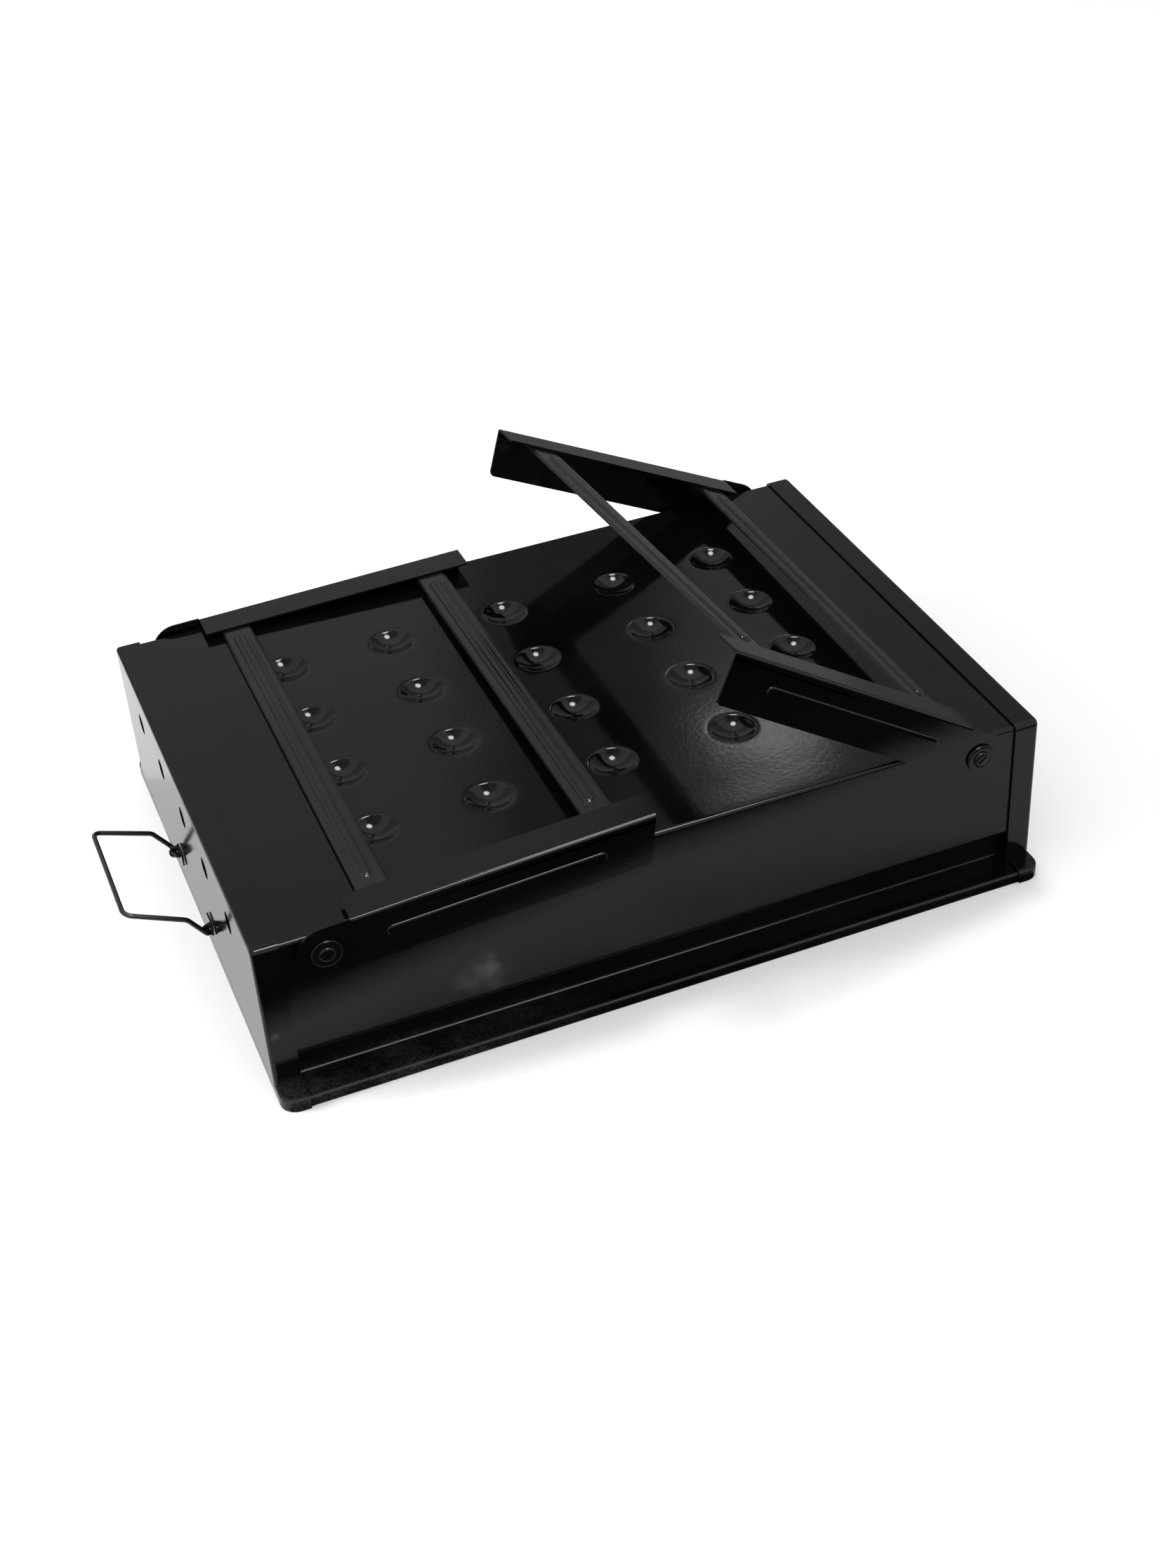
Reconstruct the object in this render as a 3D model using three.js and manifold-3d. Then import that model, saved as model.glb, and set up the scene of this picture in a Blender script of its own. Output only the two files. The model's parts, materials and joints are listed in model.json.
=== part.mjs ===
// Tray of a portable charcoal grill, standing upside down on its rim, with one leg frame folded
// onto the bottom panel and the other part way up. Millimetres, +Z up, X along the tray.
// The origin is on the ground under the middle of the tray.
import * as THREE from 'three';
import { mergeVertices } from 'three/addons/utils/BufferGeometryUtils.js';
import Module from 'manifold-3d';

// Tray
const LENGTH = 430;
const WIDTH = 296;
const PANEL_Z = 94;
const SHEET = 1;
const GAP = 0.3;
const RIM_WIDTH = 14.4;
const RIM_Z = 6;
const STEP_DEPTH = 5.5;
const STEP_TOP = 25;
const STEP_BOTTOM = 19;
const CORNER_RADIUS = 2;
const RIM_CORNER = 9;

// Dimples in the bottom panel
const DIMPLE_COLUMNS = [-131.5, -69, 0, 69, 131.5];
const DIMPLE_ROWS = 4;
const DIMPLE_PITCH = 54.5;
const DIMPLE_RADIUS = 12.5;
const DIMPLE_FLAT = 6.5;
const DIMPLE_DEPTH = 4;
const DIMPLE_ROUND = 0.8;
const DIMPLE_SIDES = 14;

// End caps
const WRAP = 14;
const VENT_COUNT = 5;
const VENT_PITCH = 48;
const VENT_RADIUS = 6;
const VENT_Z = 73.5;

// Legs
const PIVOT_INSET = 36;
const PIVOT_Z = 83.5;
const ARM_HALF = 14.75;
const ARM_LENGTH = 175;
const ARM_SHEET = 1.2;
const FLANGE_START = 14.8;
const FLANGE_WIDTH = 19.5;
const ARM_BEND = 2;
const FOOT_SLANT = THREE.MathUtils.degToRad(10);
const BEAD_START = 31;
const BEAD_END = 147;
const BEAD_HALF = 2.6;
const BEAD_HEIGHT = 0.8;
const CROSSBAR_PLACES = { inner: 32.5, outer: 151.5 };
const CROSSBAR_WIDTH = 17;
const CROSSBAR_LIP = 2.4;
const BAR_CLEARANCE = 4;
const RIB_HEIGHT = 1.2;
const RIB_INSET = 12;
const RIB_OFFSET = 1;
const RIB_HALF = 3.4;
const GROOVE_HALF = 2.6;
// Angle of each arm above the panel, in degrees: the light frames stand a little twisted.
const ARM_TILT = {
  left: { front: 3.2, back: 1.2 },
  right: { front: 33, back: 26.3 },
};

// Pivot fasteners
const SCREW_RADIUS = 3;
const SCREW_INSIDE = 8.5;
const HOLE_CLEARANCE = 0.2;
const HEAD_RADIUS = 8;
const HEAD_EDGE = 0.8;
const HEAD_HEIGHT = 2.6;
const SLOT_WIDTH = 1.8;
const SLOT_DEPTH = 1.4;
const WASHER = 1;
const NUT_FLATS = 10;
const NUT_HEIGHT = 4.5;

// Wire handles
const WIRE_RADIUS = 1.35;
const HANDLE_PIVOT = { out: 3.5, half: 41.5, z: 25 };
const HANDLE_KNEE = { out: 13.2, half: 41, z: 38.4 };
const HANDLE_TIP = { out: 44.3, half: 38.7, z: 51.1 };
const HANDLE_STUB = 8;
const HANDLE_DROOP = { left: 0, right: THREE.MathUtils.degToRad(50) };
const WIRE_BEND = 5;
const LUG_INSET = 4;
const LUG_SHEET = 1.5;
const LUG_REACH = 7;
const LUG_FOOT = 11;
const LUG_HEIGHT = 11;

const ROUND = 20;

// Places worked out from the sizes above
const WALL_Y = WIDTH / 2;
const RIM_Y = WALL_Y + RIM_WIDTH;
const SKIN = SHEET + GAP;
const CAP_X = LENGTH / 2;
const PIVOT_X = CAP_X - PIVOT_INSET;
const WASHER_Y = WALL_Y + GAP;
const ARM_Y = WASHER_Y + WASHER + GAP;
const HEAD_Y = ARM_Y + ARM_SHEET + GAP;
const HOLE_RADIUS = SCREW_RADIUS + HOLE_CLEARANCE;

const wasm = await Module();
wasm.setup();

const BLACK_COAT = { color: 0x0c0c0d, roughness: 0.18, metalness: 0.0 };
const BRIGHT_STEEL = { color: 0x8b8d90, roughness: 0.35, metalness: 1.0 };
const BLACK_WIRE = { color: 0x141415, roughness: 0.25, metalness: 0.3 };

function mesh(name, geometry, look) {
  const piece = new THREE.Mesh(geometry, new THREE.MeshStandardMaterial(look));
  piece.name = name;
  return piece;
}

function toSolid(geometry) {
  const bare = geometry.clone();
  bare.deleteAttribute('normal');
  bare.deleteAttribute('uv');
  const merged = mergeVertices(bare, 1e-4);
  return new wasm.Manifold(new wasm.Mesh({
    numProp: 3,
    vertProperties: new Float32Array(merged.attributes.position.array),
    triVerts: new Uint32Array(merged.index.array),
  }));
}

function toGeometry(solid) {
  const result = solid.getMesh();
  const geometry = new THREE.BufferGeometry();
  geometry.setAttribute('position', new THREE.BufferAttribute(new Float32Array(result.vertProperties), 3));
  geometry.setIndex(new THREE.BufferAttribute(new Uint32Array(result.triVerts), 1));
  geometry.computeVertexNormals();
  return geometry;
}

// A box given by its two opposite corners.
function block(low, high) {
  const size = high.map((value, axis) => value - low[axis]);
  const geometry = new THREE.BoxGeometry(...size);
  geometry.translate(...high.map((value, axis) => (value + low[axis]) / 2));
  return geometry;
}

// A round bar along Y, from one side to the other.
function barAlongY(radius, from, to, sides) {
  const geometry = new THREE.CylinderGeometry(radius, radius, Math.abs(to - from), sides);
  geometry.translate(0, (from + to) / 2, 0);
  return geometry;
}

// Points along a folded line, each with the direction square to the line, with the folds rounded.
function foldedLine(corners, radius, steps = 3) {
  const points = corners.map(([x, y]) => new THREE.Vector2(x, y));
  const square = (direction) => new THREE.Vector2(-direction.y, direction.x);
  const heading = (index) => points[index + 1].clone().sub(points[index]).normalize();
  const samples = [{ at: points[0], out: square(heading(0)) }];
  for (let index = 1; index < points.length - 1; index += 1) {
    const before = square(heading(index - 1));
    const after = square(heading(index));
    const turn = Math.atan2(before.cross(after), before.dot(after));
    const reach = radius * Math.tan(Math.abs(turn) / 2);
    const start = points[index].clone().addScaledVector(heading(index - 1), -reach);
    const centre = start.clone().addScaledVector(before, Math.sign(turn) * radius);
    for (let step = 0; step <= steps; step += 1) {
      const out = before.clone().rotateAround(new THREE.Vector2(), (turn * step) / steps);
      samples.push({ at: centre.clone().addScaledVector(out, -Math.sign(turn) * radius), out });
    }
  }
  samples.push({ at: points.at(-1), out: square(heading(points.length - 2)) });
  return samples;
}

// One face of a folded sheet, at a distance to the side of the line through its middle.
function foldedEdge(corners, distance, radius) {
  return foldedLine(corners, radius).map(({ at, out }) => at.clone().addScaledVector(out, distance));
}

// The section of a sheet folded along a line through the middle of its thickness.
function foldedSheet(corners, thickness, radius) {
  const left = foldedEdge(corners, thickness / 2, radius);
  const right = foldedEdge(corners, -thickness / 2, radius);
  return new THREE.Shape([...left, ...right.reverse()]);
}

function extruded(shape, depth, curveSegments) {
  return new THREE.ExtrudeGeometry(shape, { depth, bevelEnabled: false, curveSegments });
}

// Extrudes a section drawn in Y and Z along X.
function alongX(shape, from, to) {
  const geometry = extruded(shape, to - from, 4);
  const turn = new THREE.Matrix4().makeBasis(
    new THREE.Vector3(0, 1, 0),
    new THREE.Vector3(0, 0, 1),
    new THREE.Vector3(1, 0, 0),
  );
  geometry.applyMatrix4(turn);
  geometry.translate(from, 0, 0);
  return geometry;
}

// Extrudes an outline drawn in X and Z along Y.
function alongY(shape, from, to, curveSegments = 10) {
  const geometry = extruded(shape, to - from, curveSegments);
  geometry.rotateX(Math.PI / 2);
  geometry.translate(0, to, 0);
  return geometry;
}

// Extrudes an outline drawn in X and Y along Z.
function alongZ(shape, from, to) {
  const geometry = extruded(shape, to - from, 4);
  geometry.translate(0, 0, from);
  return geometry;
}

function roundedRectangle(halfX, halfY, radius) {
  const shape = new THREE.Shape();
  shape.absarc(halfX - radius, halfY - radius, radius, 0, Math.PI / 2);
  shape.absarc(radius - halfX, halfY - radius, radius, Math.PI / 2, Math.PI);
  shape.absarc(radius - halfX, radius - halfY, radius, Math.PI, 1.5 * Math.PI);
  shape.absarc(halfX - radius, radius - halfY, radius, 1.5 * Math.PI, 2 * Math.PI);
  return shape;
}

// A round solid about a vertical axis, from a profile of [radius, height] that starts and ends on it.
function turned(profile, sides) {
  const geometry = new THREE.LatheGeometry(profile.map(([r, z]) => new THREE.Vector2(r, z)), sides);
  geometry.rotateX(Math.PI / 2);
  return geometry;
}

function pivotHoles(solid) {
  let result = solid;
  for (const x of [-PIVOT_X, PIVOT_X]) {
    const hole = barAlongY(HOLE_RADIUS, -WIDTH, WIDTH, ROUND);
    hole.translate(x, 0, PIVOT_Z);
    result = result.subtract(toSolid(hole));
  }
  return result;
}

function shellSection() {
  const half = SHEET / 2;
  const side = [
    [RIM_Y - half, 0],
    [RIM_Y - half, RIM_Z - half],
    [WALL_Y - STEP_DEPTH - half, RIM_Z - half],
    [WALL_Y - STEP_DEPTH - half, STEP_BOTTOM],
    [WALL_Y - half, STEP_TOP],
    [WALL_Y - half, PANEL_Z - half],
  ];
  const mirrored = side.map(([y, z]) => [-y, z]).reverse();
  return foldedSheet([...side, ...mirrored], SHEET, CORNER_RADIUS - half);
}

// Presses the rows of shallow bowls into the panel.
function dimpled(solid) {
  const under = turned([
    [0, -DIMPLE_DEPTH - SHEET],
    [DIMPLE_FLAT + SHEET / 2, -DIMPLE_DEPTH - SHEET + DIMPLE_ROUND],
    [DIMPLE_RADIUS + SHEET * 0.7, -SHEET / 2],
    [0, -SHEET / 2],
  ], DIMPLE_SIDES);
  const bowl = turned([
    [0, -DIMPLE_DEPTH],
    [DIMPLE_FLAT, -DIMPLE_DEPTH + DIMPLE_ROUND],
    [DIMPLE_RADIUS, 0],
    [DIMPLE_RADIUS, SHEET],
    [0, SHEET],
  ], DIMPLE_SIDES);
  let result = solid;
  for (const x of DIMPLE_COLUMNS) {
    for (let row = 0; row < DIMPLE_ROWS; row += 1) {
      const y = (row - (DIMPLE_ROWS - 1) / 2) * DIMPLE_PITCH;
      const place = new THREE.Matrix4().makeTranslation(x, y, PANEL_Z);
      result = result.add(toSolid(under.clone().applyMatrix4(place)));
      result = result.subtract(toSolid(bowl.clone().applyMatrix4(place)));
    }
  }
  return result;
}

function trayShell() {
  const endX = CAP_X - SHEET - GAP;
  const plan = roundedRectangle(endX, RIM_Y, RIM_CORNER - SKIN);
  const solid = toSolid(alongX(shellSection(), -endX, endX))
    .intersect(toSolid(alongZ(plan, -1, PANEL_Z + 1)));
  return toGeometry(pivotHoles(dimpled(solid)));
}

// The strips of an end cap that wrap over the panel and the long walls, seen from the end.
function capStrips() {
  const half = SHEET / 2;
  const sideY = WALL_Y + SKIN - half;
  const topZ = PANEL_Z + SKIN - half;
  return [[sideY, 0], [sideY, topZ], [-sideY, topZ], [-sideY, 0]];
}

// One end cap, for the end at +X. The other end is the same piece turned half round.
function endCap() {
  const radius = CORNER_RADIUS + GAP + SHEET / 2;
  const innerX = CAP_X - SHEET;
  const startX = CAP_X - WRAP;
  const rimTop = RIM_Z + SKIN;
  const rimY = RIM_Y + SKIN;
  const face = new THREE.Shape(foldedEdge(capStrips(), -SHEET / 2, radius));
  const strips = toSolid(alongX(foldedSheet(capStrips(), SHEET, radius), startX, CAP_X));
  const hollow = roundedRectangle(innerX, rimY - SHEET, RIM_CORNER - SHEET);
  const cover = toSolid(alongZ(roundedRectangle(CAP_X, rimY, RIM_CORNER), 0, rimTop))
    .subtract(toSolid(alongZ(hollow, -1, rimTop - SHEET)))
    .subtract(toSolid(block([-LENGTH, -WALL_Y, -1], [innerX, WALL_Y, rimTop + 1])))
    .intersect(toSolid(block([startX, -WIDTH, -1], [LENGTH, WIDTH, PANEL_Z])));
  let solid = strips.subtract(toSolid(alongZ(hollow, -1, rimTop - SHEET))).add(cover);
  solid = solid.add(toSolid(alongX(face, innerX, CAP_X)));
  for (let index = 0; index < VENT_COUNT; index += 1) {
    const vent = new THREE.CylinderGeometry(VENT_RADIUS, VENT_RADIUS, 4 * SHEET, 20);
    vent.rotateZ(Math.PI / 2);
    vent.translate(CAP_X, (index - (VENT_COUNT - 1) / 2) * VENT_PITCH, VENT_Z);
    solid = solid.subtract(toSolid(vent));
  }
  return toGeometry(solid);
}

// The flat side of an arm: round about the pivot, square bar, slanted foot with a small round.
function armSide() {
  const footX = ARM_LENGTH - 2 * ARM_HALF * Math.tan(FOOT_SLANT);
  const shape = new THREE.Shape();
  shape.moveTo(0, -ARM_HALF);
  shape.absarc(0, 0, ARM_HALF, -Math.PI / 2, Math.PI / 2, true);
  shape.lineTo(FLANGE_START, ARM_HALF);
  shape.lineTo(FLANGE_START, ARM_HALF - 2 * ARM_BEND);
  shape.lineTo(ARM_LENGTH - 2 * ARM_BEND * Math.tan(FOOT_SLANT), ARM_HALF - 2 * ARM_BEND);
  shape.lineTo(footX + ARM_BEND * Math.tan(FOOT_SLANT), ARM_BEND - ARM_HALF);
  shape.quadraticCurveTo(footX, -ARM_HALF, footX - ARM_BEND, -ARM_HALF);
  return shape;
}

// Raised bead pressed out of the side of an arm: a long round-ended lump with a flat top.
function armBead(outer, side) {
  const shape = new THREE.Shape();
  shape.absarc(BEAD_END - BEAD_HALF, 0, BEAD_HALF, -Math.PI / 2, Math.PI / 2);
  shape.absarc(BEAD_START + BEAD_HALF, 0, BEAD_HALF, Math.PI / 2, 1.5 * Math.PI);
  const base = outer - ARM_SHEET / 2;
  const top = outer + BEAD_HEIGHT;
  return side > 0 ? alongY(shape, base, top, 3) : alongY(shape, -top, -base, 3);
}

// One leg arm in the leg's own frame: the pivot is at the origin and the foot at +X.
// side is +1 for the arm at +Y and -1 for the arm at -Y.
function legArm(side) {
  const outer = ARM_Y + ARM_SHEET;
  const flat = side > 0 ? [ARM_Y, outer] : [-outer, -ARM_Y];
  const half = ARM_SHEET / 2;
  const section = foldedSheet([
    [side * (outer - half), ARM_HALF - 3 * ARM_BEND],
    [side * (outer - half), ARM_HALF - half],
    [side * (outer - FLANGE_WIDTH), ARM_HALF - half],
  ], ARM_SHEET, ARM_BEND - half);
  let solid = toSolid(alongY(armSide(), ...flat))
    .add(toSolid(alongX(section, FLANGE_START, ARM_LENGTH + ARM_HALF)));
  const footCut = block([0, -WIDTH, -ARM_LENGTH], [ARM_LENGTH, WIDTH, ARM_LENGTH]);
  footCut.rotateY(FOOT_SLANT);
  footCut.translate(ARM_LENGTH, 0, ARM_HALF);
  solid = solid.subtract(toSolid(footCut));
  solid = solid.add(toSolid(armBead(outer, side)));
  solid = solid.subtract(toSolid(barAlongY(HOLE_RADIUS, side * WALL_Y, side * WIDTH, ROUND)));
  return toGeometry(solid);
}

// A folded strip across the leg with a pressed rib, tucked under the flanges of both arms.
function crossbar(place) {
  const half = CROSSBAR_WIDTH / 2;
  const top = ARM_HALF - ARM_SHEET - GAP;
  const strip = foldedSheet([
    [place - half + SHEET / 2, top - CROSSBAR_LIP],
    [place - half + SHEET / 2, top - SHEET / 2],
    [place + half - SHEET / 2, top - SHEET / 2],
    [place + half - SHEET / 2, top - CROSSBAR_LIP],
  ], SHEET, CORNER_RADIUS - SHEET / 2);
  const endY = ARM_Y - BAR_CLEARANCE;
  const ribY = ARM_Y + ARM_SHEET - FLANGE_WIDTH - RIB_INSET;
  const ribX = place - RIB_OFFSET;
  const ribShape = (reach, base, height) => new THREE.Shape([
    new THREE.Vector2(ribX - reach, base),
    new THREE.Vector2(ribX + reach, base),
    new THREE.Vector2(ribX + reach / 2, base + height),
    new THREE.Vector2(ribX - reach / 2, base + height),
  ]);
  const rib = alongY(ribShape(RIB_HALF, top - SHEET / 2, RIB_HEIGHT + SHEET / 2), -ribY, ribY);
  const low = top - 1.5 * SHEET;
  const groove = alongY(ribShape(GROOVE_HALF, low, RIB_HEIGHT + SHEET / 2), SHEET - ribY, ribY - SHEET);
  return toGeometry(toSolid(alongY(strip, -endY, endY)).add(toSolid(rib)).subtract(toSolid(groove)));
}

// Raises a piece of a leg about the pivot by an angle that runs evenly from one arm to the other.
function raised(geometry, tilts) {
  const position = geometry.attributes.position;
  const axis = new THREE.Vector3(0, 1, 0);
  const point = new THREE.Vector3();
  for (let index = 0; index < position.count; index += 1) {
    point.fromBufferAttribute(position, index);
    const share = (point.y + ARM_Y) / (2 * ARM_Y);
    point.applyAxisAngle(axis, -THREE.MathUtils.degToRad(THREE.MathUtils.lerp(...tilts, share)));
    position.setXYZ(index, point.x, point.y, point.z);
  }
  geometry.computeVertexNormals();
  return geometry;
}

// A leg frame about its pivot, foot at +X. sides names the arms at -Y and +Y.
function leg(end, sides) {
  const frame = new THREE.Group();
  const tilts = sides.map((side) => ARM_TILT[end][side]);
  for (const [index, side] of sides.entries()) {
    frame.add(mesh(`${end}_leg_arm_${side}`, raised(legArm(2 * index - 1), tilts), BLACK_COAT));
  }
  for (const [place, distance] of Object.entries(CROSSBAR_PLACES)) {
    frame.add(mesh(`${end}_leg_crossbar_${place}`, raised(crossbar(distance), tilts), BLACK_COAT));
  }
  return frame;
}

// Slotted pan-head screw along Y, its head out at +Y.
function pivotScrew() {
  const start = WALL_Y - SCREW_INSIDE;
  const headTop = HEAD_Y + HEAD_HEIGHT;
  const profile = [
    [0, start],
    [SCREW_RADIUS - 0.5, start],
    [SCREW_RADIUS, start + 0.5],
    [SCREW_RADIUS, HEAD_Y],
    [HEAD_RADIUS, HEAD_Y],
    [HEAD_RADIUS, HEAD_Y + HEAD_EDGE],
    [HEAD_RADIUS * 0.8, HEAD_Y + HEAD_HEIGHT * 0.8],
    [HEAD_RADIUS * 0.4, headTop],
    [0, headTop],
  ];
  const body = new THREE.LatheGeometry(profile.map(([r, y]) => new THREE.Vector2(r, y)), ROUND);
  const reach = HEAD_RADIUS * 0.7;
  const slot = block([-reach, headTop - SLOT_DEPTH, -SLOT_WIDTH / 2], [reach, headTop + 1, SLOT_WIDTH / 2]);
  slot.rotateY(Math.PI / 5);
  return toGeometry(toSolid(body).subtract(toSolid(slot)));
}

function ring(outerRadius, from, to, sides) {
  const hole = barAlongY(HOLE_RADIUS, from - 1, to + 1, ROUND);
  return toGeometry(toSolid(barAlongY(outerRadius, from, to, sides)).subtract(toSolid(hole)));
}

function pivotSet(name) {
  const set = new THREE.Group();
  const wallInside = WALL_Y - SHEET - GAP;
  const nutRadius = NUT_FLATS / 2 / Math.cos(Math.PI / 6);
  set.add(mesh(`pivot_screw_${name}`, pivotScrew(), BLACK_WIRE));
  set.add(mesh(`pivot_washer_${name}`, ring(HEAD_RADIUS, WASHER_Y, WASHER_Y + WASHER, ROUND), BRIGHT_STEEL));
  set.add(mesh(`pivot_nut_${name}`, ring(nutRadius, wallInside - NUT_HEIGHT, wallInside, 6), BRIGHT_STEEL));
  return set;
}

// Carrying handle reaching towards +X, bent from one wire with its ends turned in. The origin is
// on the pivot, in the middle of the handle.
function wireHandle() {
  const at = (place, side, half = place.half) => new THREE.Vector3(
    place.out - HANDLE_PIVOT.out,
    side * half,
    place.z - HANDLE_PIVOT.z,
  );
  const stub = HANDLE_PIVOT.half - HANDLE_STUB;
  const places = [HANDLE_PIVOT, HANDLE_KNEE, HANDLE_TIP];
  const corners = [
    at(HANDLE_PIVOT, -1, stub),
    ...places.map((place) => at(place, -1)),
    ...places.toReversed().map((place) => at(place, 1)),
    at(HANDLE_PIVOT, 1, stub),
  ];
  const path = new THREE.CurvePath();
  let from = corners[0];
  for (let index = 1; index < corners.length - 1; index += 1) {
    const corner = corners[index];
    const towards = (other) => other.clone().sub(corner).normalize().multiplyScalar(WIRE_BEND).add(corner);
    const entry = towards(corners[index - 1]);
    const exit = towards(corners[index + 1]);
    path.add(new THREE.LineCurve3(from, entry));
    path.add(new THREE.QuadraticBezierCurve3(entry, corner, exit));
    from = exit;
  }
  path.add(new THREE.LineCurve3(from, corners.at(-1)));
  const section = new THREE.Shape();
  section.absarc(0, 0, WIRE_RADIUS, 0, 2 * Math.PI);
  return new THREE.ExtrudeGeometry(section, { steps: 60, curveSegments: 4, extrudePath: path });
}

// Small angle bracket on the end wall at +X that carries one end of the handle wire.
function handleLug(side) {
  const ear = side * (HANDLE_PIVOT.half - LUG_INSET);
  const wallX = CAP_X + GAP;
  const low = HANDLE_PIVOT.z - LUG_HEIGHT / 2;
  const high = HANDLE_PIVOT.z + LUG_HEIGHT / 2;
  const foot = [ear - side * LUG_FOOT, ear].sort((a, b) => a - b);
  const plate = [ear - side * LUG_SHEET, ear].sort((a, b) => a - b);
  const hole = barAlongY(WIRE_RADIUS + GAP, ear - LUG_REACH, ear + LUG_REACH, 12);
  hole.translate(CAP_X + HANDLE_PIVOT.out, 0, HANDLE_PIVOT.z);
  const solid = toSolid(block([wallX, foot[0], low], [wallX + SHEET, foot[1], high]))
    .add(toSolid(block([wallX, plate[0], low], [CAP_X + LUG_REACH, plate[1], high])))
    .subtract(toSolid(hole));
  return toGeometry(solid);
}

// Everything at one end of the tray, drawn for +X: cap, leg, pivots, handle and its lugs.
// sides names what is at -Y and +Y.
function endAssembly(end, sides) {
  const group = new THREE.Group();
  group.add(mesh(`end_cap_${end}`, endCap(), BLACK_COAT));
  const handle = mesh(`handle_${end}`, wireHandle(), BLACK_WIRE);
  handle.position.set(CAP_X + HANDLE_PIVOT.out, 0, HANDLE_PIVOT.z);
  handle.rotation.y = HANDLE_DROOP[end];
  group.add(handle);
  const hinge = new THREE.Group();
  hinge.position.set(PIVOT_X, 0, PIVOT_Z);
  hinge.rotation.z = Math.PI;
  hinge.add(leg(end, sides.toReversed()));
  group.add(hinge);
  for (const [index, side] of sides.entries()) {
    group.add(mesh(`handle_lug_${end}_${side}`, handleLug(2 * index - 1), BLACK_COAT));
    const pivot = pivotSet(`${end}_${side}`);
    pivot.position.set(PIVOT_X, 0, PIVOT_Z);
    pivot.rotation.z = index === 0 ? Math.PI : 0;
    group.add(pivot);
  }
  return group;
}

const grill = new THREE.Group();
grill.add(mesh('tray_shell', trayShell(), BLACK_COAT));
grill.add(endAssembly('right', ['front', 'back']));
const leftEnd = endAssembly('left', ['back', 'front']);
leftEnd.rotation.z = Math.PI;
grill.add(leftEnd);

export default grill;
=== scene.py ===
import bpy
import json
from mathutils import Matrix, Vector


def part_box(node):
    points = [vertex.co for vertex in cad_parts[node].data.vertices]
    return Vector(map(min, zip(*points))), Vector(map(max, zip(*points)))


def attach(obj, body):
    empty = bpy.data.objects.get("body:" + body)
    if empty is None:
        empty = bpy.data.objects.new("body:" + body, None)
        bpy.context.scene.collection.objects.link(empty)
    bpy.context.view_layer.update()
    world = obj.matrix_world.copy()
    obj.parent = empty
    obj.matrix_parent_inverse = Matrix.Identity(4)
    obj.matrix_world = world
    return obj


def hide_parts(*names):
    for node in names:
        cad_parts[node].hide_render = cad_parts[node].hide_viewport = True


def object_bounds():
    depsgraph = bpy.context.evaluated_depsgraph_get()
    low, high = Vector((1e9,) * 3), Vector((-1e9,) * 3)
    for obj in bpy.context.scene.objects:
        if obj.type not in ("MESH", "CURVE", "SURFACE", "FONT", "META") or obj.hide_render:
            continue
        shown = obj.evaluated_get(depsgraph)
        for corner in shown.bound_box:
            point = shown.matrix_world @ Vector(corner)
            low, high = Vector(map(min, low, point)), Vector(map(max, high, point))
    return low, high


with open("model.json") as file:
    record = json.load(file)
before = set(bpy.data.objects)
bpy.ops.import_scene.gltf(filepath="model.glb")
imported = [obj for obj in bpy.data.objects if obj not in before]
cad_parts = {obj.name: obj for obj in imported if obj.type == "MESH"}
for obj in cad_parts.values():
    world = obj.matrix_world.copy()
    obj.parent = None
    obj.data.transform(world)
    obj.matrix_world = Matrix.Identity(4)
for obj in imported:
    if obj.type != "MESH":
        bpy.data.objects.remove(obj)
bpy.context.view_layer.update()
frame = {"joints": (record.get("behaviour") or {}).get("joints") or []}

import json
import math

import bmesh
import bpy
from mathutils import Matrix, Vector

MM = 0.001
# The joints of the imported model, the ends of the tray along X, and its near and far side along Y.
JOINTS = {joint["name"]: joint for joint in frame["joints"]}
ENDS = ("left", "right")
SIDES = {"front": -1, "back": 1}

# ---------------------------------------------------------------- sizes, in millimetres
CAP_LOW, CAP_HIGH = (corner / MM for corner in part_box("end_cap_right"))
SHELL_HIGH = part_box("tray_shell")[1] / MM
SHEET = 1.0
GAP = 0.3
CAP_X = CAP_HIGH.x
WRAP = CAP_HIGH.x - CAP_LOW.x
SHELL_X = SHELL_HIGH.x
RIM_Y = SHELL_HIGH.y
PANEL_Z = SHELL_HIGH.z
WALL_Y = 148.0
RIM_Z = 6.0
STEP_DEPTH = 5.5
STEP_TOP = 25.0
STEP_BOTTOM = 19.0
BEND = 2.2
CAP_BEND = 2.4
APRON_BEND = 1.2
APRON_INNER_BEND = 0.6
RIM_CORNER = 9.0
RIM_FOLD = 0.6
CAP_EDGE = 0.22
ARM_EDGE = 0.25
SMALL_EDGE = 0.2
NUT_EDGE = 0.15

DIMPLE_COLUMNS = (-131.5, -69.0, 0.0, 69.0, 131.5)
DIMPLE_ROWS = (-1.5, -0.5, 0.5, 1.5)
DIMPLE_PITCH = 54.5
DIMPLE_FIELD_X = 162.5
DIMPLE_RADIUS = 12.5
DIMPLE_DEPTH = 3.9
DIMPLE_SOFT = 0.2
DIMPLE_RINGS = (19.0, 16.5, 15.2, 14.2, 13.4, 12.7, 12.0, 11.2, 10.0, 8.2, 6.0, 3.6, 1.6)
CELL_STEPS = 12
PANEL_END_STEPS = 12
PANEL_MARGIN_STEPS = 8
PANEL_FADE = 20
WALL_STEP = 6
WALL_BOW = 0.22
WALL_BOW_FADE = 25
WALL_BOW_START = 4

VENT_COUNT = 5
VENT_PITCH = 48.0
VENT_RADIUS = 6.0
VENT_Z = 73.5

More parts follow.
